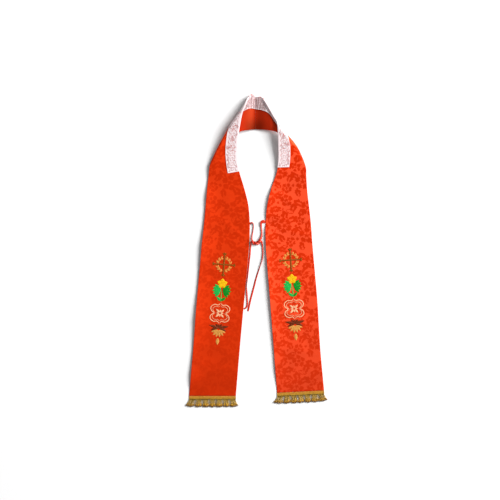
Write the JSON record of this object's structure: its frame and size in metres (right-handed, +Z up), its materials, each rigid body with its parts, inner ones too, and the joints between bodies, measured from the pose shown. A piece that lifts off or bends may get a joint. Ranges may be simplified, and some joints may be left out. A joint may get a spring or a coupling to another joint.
{
  "type": "clerical stole",
  "caption": "Red damask clerical stole laid flat, with embroidered panels, a lace-edged neck opening, knotted ribbon ties and gold hem fringe.",
  "frame": {"origin": "middle of the stole's outline seen from above, on the surface that it lies on; the ties are not counted", "axes": "+Z up out of the surface; +Y along the stole from its hems to the back of its neck; +X to the right, seen from above with the neck away from the viewer"},
  "size_m": [0.4987, 1.097, 0.0366],
  "materials": {
    "damask_left": "orange-red damask satin",
    "damask_right": "orange-red damask satin",
    "satin_left": "plain red satin",
    "satin_right": "plain red satin",
    "lace_white_left": "white lace",
    "lace_white_right": "white lace",
    "gold_left": "gold bullion fringe",
    "gold_right": "gold bullion fringe",
    "ribbon_left": "red satin ribbon",
    "ribbon_right": "red satin ribbon"
  },
  "bodies": {
    "root": {"stole_left": "damask_left", "stole_right": "damask_right", "lining_left": "satin_left", "lining_right": "satin_right", "lace_left": "lace_white_left", "lace_right": "lace_white_right", "fringe_left": "gold_left", "fringe_right": "gold_right", "tie_left": "ribbon_left", "tie_right": "ribbon_right"}
  },
  "joints": []
}
